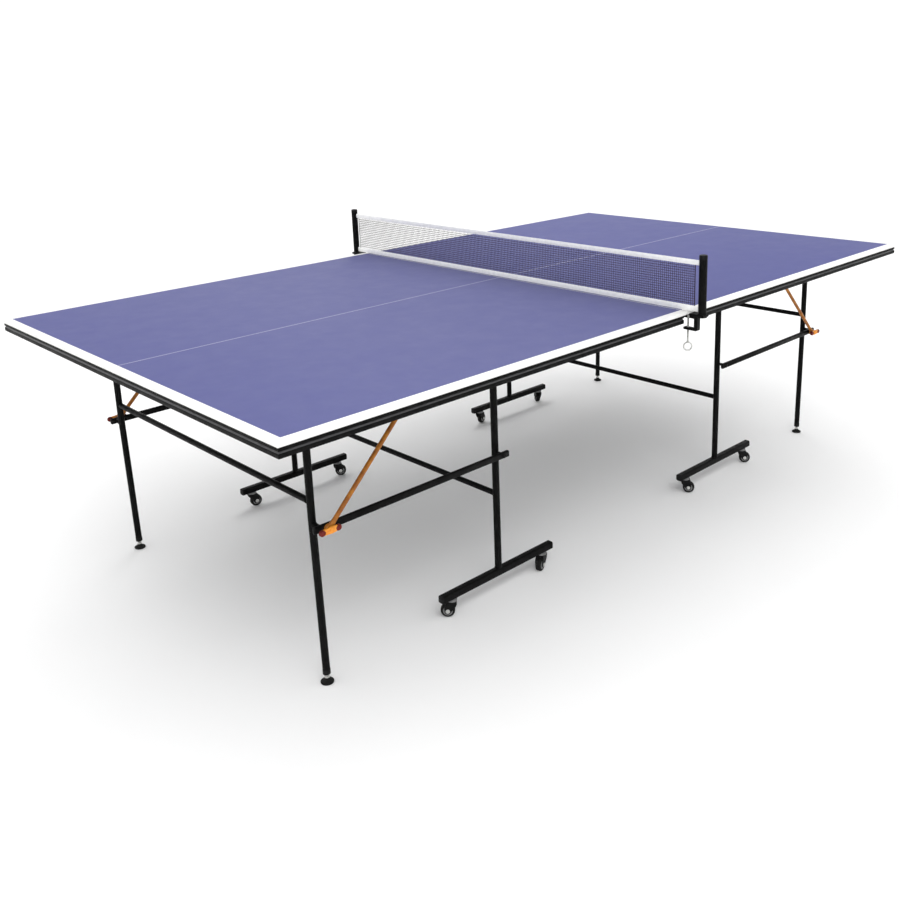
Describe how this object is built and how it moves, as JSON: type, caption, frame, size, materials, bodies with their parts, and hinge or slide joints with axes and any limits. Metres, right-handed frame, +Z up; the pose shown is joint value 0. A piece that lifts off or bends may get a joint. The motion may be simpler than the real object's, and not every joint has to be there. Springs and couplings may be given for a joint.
{
  "type": "ping pong table",
  "caption": "Folding ping pong table in two wheeled halves, with hinged end legs, link bars, orange lock struts and a clamp-on net.",
  "frame": {"origin": "on the floor under the middle of the net, midway between the side lines", "axes": "+X along the table towards the right half, +Y across the table to the back side, +Z up"},
  "size_m": [2.74, 1.656, 0.93],
  "materials": {
    "blue_top": "matt blue painted playing surface with white lines and a white edge",
    "black_steel": "satin black powder coat",
    "orange_steel": "satin orange powder coat",
    "orange_plastic": "moulded orange plastic",
    "caster_plastic": "moulded black plastic",
    "wheel_rubber": "black tread on a grey hub",
    "foot_rubber": "matt black moulded foot",
    "plated_steel": "bright zinc plating",
    "net_fabric": "knotted dark mesh with white tapes"
  },
  "bodies": {
    "left_trolley": {"left_trolley_crossbar": "black_steel", "left_front_post": "black_steel", "left_front_base_bar": "black_steel", "left_back_post": "black_steel", "left_back_base_bar": "black_steel"},
    "left_top": {"left_board": "blue_top", "left_top_frame": "black_steel"},
    "left_legs": {"left_leg_crossbar": "black_steel", "left_front_leg": "black_steel", "left_back_leg": "black_steel"},
    "left_front_foot": {"left_front_foot": "foot_rubber"},
    "left_front_link_bar": {"left_front_link_bar": "black_steel"},
    "left_front_lock_strut": {"left_front_lock_strut": "orange_steel"},
    "left_front_lock_lever": {"left_front_lock_lever": "orange_plastic"},
    "left_front_inner_caster": {"left_front_inner_caster_fork": "caster_plastic"},
    "left_front_inner_wheel": {"left_front_inner_caster_wheel": "wheel_rubber"},
    "left_front_outer_caster": {"left_front_outer_caster_fork": "caster_plastic"},
    "left_front_outer_wheel": {"left_front_outer_caster_wheel": "wheel_rubber"},
    "left_back_foot": {"left_back_foot": "foot_rubber"},
    "left_back_link_bar": {"left_back_link_bar": "black_steel"},
    "left_back_lock_strut": {"left_back_lock_strut": "orange_steel"},
    "left_back_lock_lever": {"left_back_lock_lever": "orange_plastic"},
    "left_back_inner_caster": {"left_back_inner_caster_fork": "caster_plastic"},
    "left_back_inner_wheel": {"left_back_inner_caster_wheel": "wheel_rubber"},
    "left_back_outer_caster": {"left_back_outer_caster_fork": "caster_plastic"},
    "left_back_outer_wheel": {"left_back_outer_caster_wheel": "wheel_rubber"},
    "right_trolley": {"right_trolley_crossbar": "black_steel", "right_front_post": "black_steel", "right_front_base_bar": "black_steel", "right_back_post": "black_steel", "right_back_base_bar": "black_steel"},
    "right_top": {"right_board": "blue_top", "right_top_frame": "black_steel", "net": "net_fabric", "front_net_bracket": "black_steel", "back_net_bracket": "black_steel"},
    "right_legs": {"right_leg_crossbar": "black_steel", "right_front_leg": "black_steel", "right_back_leg": "black_steel"},
    "right_front_foot": {"right_front_foot": "foot_rubber"},
    "right_front_link_bar": {"right_front_link_bar": "black_steel"},
    "right_front_lock_strut": {"right_front_lock_strut": "orange_steel"},
    "right_front_lock_lever": {"right_front_lock_lever": "orange_plastic"},
    "right_front_inner_caster": {"right_front_inner_caster_fork": "caster_plastic"},
    "right_front_inner_wheel": {"right_front_inner_caster_wheel": "wheel_rubber"},
    "right_front_outer_caster": {"right_front_outer_caster_fork": "caster_plastic"},
    "right_front_outer_wheel": {"right_front_outer_caster_wheel": "wheel_rubber"},
    "right_back_foot": {"right_back_foot": "foot_rubber"},
    "right_back_link_bar": {"right_back_link_bar": "black_steel"},
    "right_back_lock_strut": {"right_back_lock_strut": "orange_steel"},
    "right_back_lock_lever": {"right_back_lock_lever": "orange_plastic"},
    "right_back_inner_caster": {"right_back_inner_caster_fork": "caster_plastic"},
    "right_back_inner_wheel": {"right_back_inner_caster_wheel": "wheel_rubber"},
    "right_back_outer_caster": {"right_back_outer_caster_fork": "caster_plastic"},
    "right_back_outer_wheel": {"right_back_outer_caster_wheel": "wheel_rubber"},
    "front_clamp_screw": {"front_clamp_screw": "plated_steel"},
    "back_clamp_screw": {"back_clamp_screw": "plated_steel"}
  },
  "joints": [
    {"name": "halves_apart", "type": "slide", "parent": "left_trolley", "child": "right_trolley", "axis": [1, 0, 0], "range_m": [0, 0.25]},
    {"name": "left_fold", "type": "hinge", "parent": "left_trolley", "child": "left_top", "pos_m": [-0.548, 0, 0.7], "axis": [0, 1, 0], "range_deg": [0, 85]},
    {"name": "left_leg_fold", "type": "hinge", "parent": "left_top", "child": "left_legs", "pos_m": [-1.15, 0, 0.7], "axis": [0, 1, 0], "range_deg": [-85, 0]},
    {"name": "left_front_foot_screw", "type": "hinge", "parent": "left_legs", "child": "left_front_foot", "pos_m": [-1.142, -0.516, 0], "axis": [0, 0, 1], "continuous": true},
    {"name": "left_front_link_turn", "type": "hinge", "parent": "left_trolley", "child": "left_front_link_bar", "pos_m": [-0.548, -0.55, 0.426], "axis": [0, 1, 0], "range_deg": [0, 85]},
    {"name": "left_front_strut_turn", "type": "hinge", "parent": "left_front_link_bar", "child": "left_front_lock_strut", "pos_m": [-1.135, -0.5635, 0.426], "axis": [0, 1, 0], "range_deg": [0, 45]},
    {"name": "left_front_lever_press", "type": "hinge", "parent": "left_front_lock_strut", "child": "left_front_lock_lever", "pos_m": [-1.135, -0.574, 0.426], "axis": [0, 1, 0], "range_deg": [0, 25], "stiffness_Nm_per_rad": 0.3, "springref_deg": -11.46},
    {"name": "left_front_inner_swivel", "type": "hinge", "parent": "left_trolley", "child": "left_front_inner_caster", "pos_m": [-0.368, -0.518, 0], "axis": [0, 0, 1], "continuous": true},
    {"name": "left_front_inner_roll", "type": "hinge", "parent": "left_front_inner_caster", "child": "left_front_inner_wheel", "pos_m": [-0.37928, -0.5221, 0.02], "axis": [0.342, -0.9397, 0], "continuous": true},
    {"name": "left_front_outer_swivel", "type": "hinge", "parent": "left_trolley", "child": "left_front_outer_caster", "pos_m": [-0.728, -0.518, 0], "axis": [0, 0, 1], "continuous": true},
    {"name": "left_front_outer_roll", "type": "hinge", "parent": "left_front_outer_caster", "child": "left_front_outer_wheel", "pos_m": [-0.73663, -0.50966, 0.02], "axis": [-0.6947, -0.7193, 0], "continuous": true},
    {"name": "left_back_foot_screw", "type": "hinge", "parent": "left_legs", "child": "left_back_foot", "pos_m": [-1.142, 0.516, 0], "axis": [0, 0, 1], "continuous": true},
    {"name": "left_back_link_turn", "type": "hinge", "parent": "left_trolley", "child": "left_back_link_bar", "pos_m": [-0.548, 0.55, 0.426], "axis": [0, 1, 0], "range_deg": [0, 85]},
    {"name": "left_back_strut_turn", "type": "hinge", "parent": "left_back_link_bar", "child": "left_back_lock_strut", "pos_m": [-1.135, 0.5635, 0.426], "axis": [0, 1, 0], "range_deg": [0, 45]},
    {"name": "left_back_lever_press", "type": "hinge", "parent": "left_back_lock_strut", "child": "left_back_lock_lever", "pos_m": [-1.135, 0.574, 0.426], "axis": [0, 1, 0], "range_deg": [0, 25], "stiffness_Nm_per_rad": 0.3, "springref_deg": -11.46},
    {"name": "left_back_inner_swivel", "type": "hinge", "parent": "left_trolley", "child": "left_back_inner_caster", "pos_m": [-0.368, 0.518, 0], "axis": [0, 0, 1], "continuous": true},
    {"name": "left_back_inner_roll", "type": "hinge", "parent": "left_back_inner_caster", "child": "left_back_inner_wheel", "pos_m": [-0.35805, 0.51129, 0.02], "axis": [0.5592, 0.829, 0], "continuous": true},
    {"name": "left_back_outer_swivel", "type": "hinge", "parent": "left_trolley", "child": "left_back_outer_caster", "pos_m": [-0.728, 0.518, 0], "axis": [0, 0, 1], "continuous": true},
    {"name": "left_back_outer_roll", "type": "hinge", "parent": "left_back_outer_caster", "child": "left_back_outer_wheel", "pos_m": [-0.71618, 0.51592, 0.02], "axis": [0.1736, 0.9848, 0], "continuous": true},
    {"name": "right_fold", "type": "hinge", "parent": "right_trolley", "child": "right_top", "pos_m": [0.548, 0, 0.7], "axis": [0, -1, 0], "range_deg": [0, 85]},
    {"name": "right_leg_fold", "type": "hinge", "parent": "right_top", "child": "right_legs", "pos_m": [1.15, 0, 0.7], "axis": [0, -1, 0], "range_deg": [-85, 0]},
    {"name": "right_front_foot_screw", "type": "hinge", "parent": "right_legs", "child": "right_front_foot", "pos_m": [1.142, -0.516, 0], "axis": [0, 0, 1], "continuous": true},
    {"name": "right_front_link_turn", "type": "hinge", "parent": "right_trolley", "child": "right_front_link_bar", "pos_m": [0.548, -0.55, 0.426], "axis": [0, -1, 0], "range_deg": [0, 85]},
    {"name": "right_front_strut_turn", "type": "hinge", "parent": "right_front_link_bar", "child": "right_front_lock_strut", "pos_m": [1.135, -0.5635, 0.426], "axis": [0, -1, 0], "range_deg": [0, 45]},
    {"name": "right_front_lever_press", "type": "hinge", "parent": "right_front_lock_strut", "child": "right_front_lock_lever", "pos_m": [1.135, -0.574, 0.426], "axis": [0, -1, 0], "range_deg": [0, 25], "stiffness_Nm_per_rad": 0.3, "springref_deg": -11.46},
    {"name": "right_front_inner_swivel", "type": "hinge", "parent": "right_trolley", "child": "right_front_inner_caster", "pos_m": [0.368, -0.518, 0], "axis": [0, 0, 1], "continuous": true},
    {"name": "right_front_inner_roll", "type": "hinge", "parent": "right_front_inner_caster", "child": "right_front_inner_wheel", "pos_m": [0.37471, -0.52795, 0.02], "axis": [0.829, 0.5592, 0], "continuous": true},
    {"name": "right_front_outer_swivel", "type": "hinge", "parent": "right_trolley", "child": "right_front_outer_caster", "pos_m": [0.728, -0.518, 0], "axis": [0, 0, 1], "continuous": true},
    {"name": "right_front_outer_roll", "type": "hinge", "parent": "right_front_outer_caster", "child": "right_front_outer_wheel", "pos_m": [0.73571, -0.52719, 0.02], "axis": [0.766, 0.6428, 0], "continuous": true},
    {"name": "right_back_foot_screw", "type": "hinge", "parent": "right_legs", "child": "right_back_foot", "pos_m": [1.142, 0.516, 0], "axis": [0, 0, 1], "continuous": true},
    {"name": "right_back_link_turn", "type": "hinge", "parent": "right_trolley", "child": "right_back_link_bar", "pos_m": [0.548, 0.55, 0.426], "axis": [0, -1, 0], "range_deg": [0, 85]},
    {"name": "right_back_strut_turn", "type": "hinge", "parent": "right_back_link_bar", "child": "right_back_lock_strut", "pos_m": [1.135, 0.5635, 0.426], "axis": [0, -1, 0], "range_deg": [0, 45]},
    {"name": "right_back_lever_press", "type": "hinge", "parent": "right_back_lock_strut", "child": "right_back_lock_lever", "pos_m": [1.135, 0.574, 0.426], "axis": [0, -1, 0], "range_deg": [0, 25], "stiffness_Nm_per_rad": 0.3, "springref_deg": -11.46},
    {"name": "right_back_inner_swivel", "type": "hinge", "parent": "right_trolley", "child": "right_back_inner_caster", "pos_m": [0.368, 0.518, 0], "axis": [0, 0, 1], "continuous": true},
    {"name": "right_back_inner_roll", "type": "hinge", "parent": "right_back_inner_caster", "child": "right_back_inner_wheel", "pos_m": [0.37959, 0.52111, 0.02], "axis": [-0.2588, 0.9659, 0], "continuous": true},
    {"name": "right_back_outer_swivel", "type": "hinge", "parent": "right_trolley", "child": "right_back_outer_caster", "pos_m": [0.728, 0.518, 0], "axis": [0, 0, 1], "continuous": true},
    {"name": "right_back_outer_roll", "type": "hinge", "parent": "right_back_outer_caster", "child": "right_back_outer_wheel", "pos_m": [0.734, 0.52839, 0.02], "axis": [-0.866, 0.5, 0], "continuous": true},
    {"name": "front_screw_turn", "type": "hinge", "parent": "right_top", "child": "front_clamp_screw", "pos_m": [0.026, -0.75, 0.646], "axis": [0, 0, 1], "continuous": true},
    {"name": "back_screw_turn", "type": "hinge", "parent": "right_top", "child": "back_clamp_screw", "pos_m": [0.026, 0.75, 0.646], "axis": [0, 0, 1], "continuous": true}
  ],
  "couplings": [
    {"joint": "left_leg_fold", "follows": "left_fold", "ratio": -1},
    {"joint": "left_front_link_turn", "follows": "left_fold", "ratio": 1},
    {"joint": "left_front_strut_turn", "follows": "left_fold", "ratio": 0.52701},
    {"joint": "left_back_link_turn", "follows": "left_fold", "ratio": 1},
    {"joint": "left_back_strut_turn", "follows": "left_fold", "ratio": 0.52701},
    {"joint": "right_leg_fold", "follows": "right_fold", "ratio": -1},
    {"joint": "right_front_link_turn", "follows": "right_fold", "ratio": 1},
    {"joint": "right_front_strut_turn", "follows": "right_fold", "ratio": 0.52701},
    {"joint": "right_back_link_turn", "follows": "right_fold", "ratio": 1},
    {"joint": "right_back_strut_turn", "follows": "right_fold", "ratio": 0.52701},
    {"joint": "halves_apart", "follows": "right_fold", "m_per_rad": 0.16852}
  ]
}
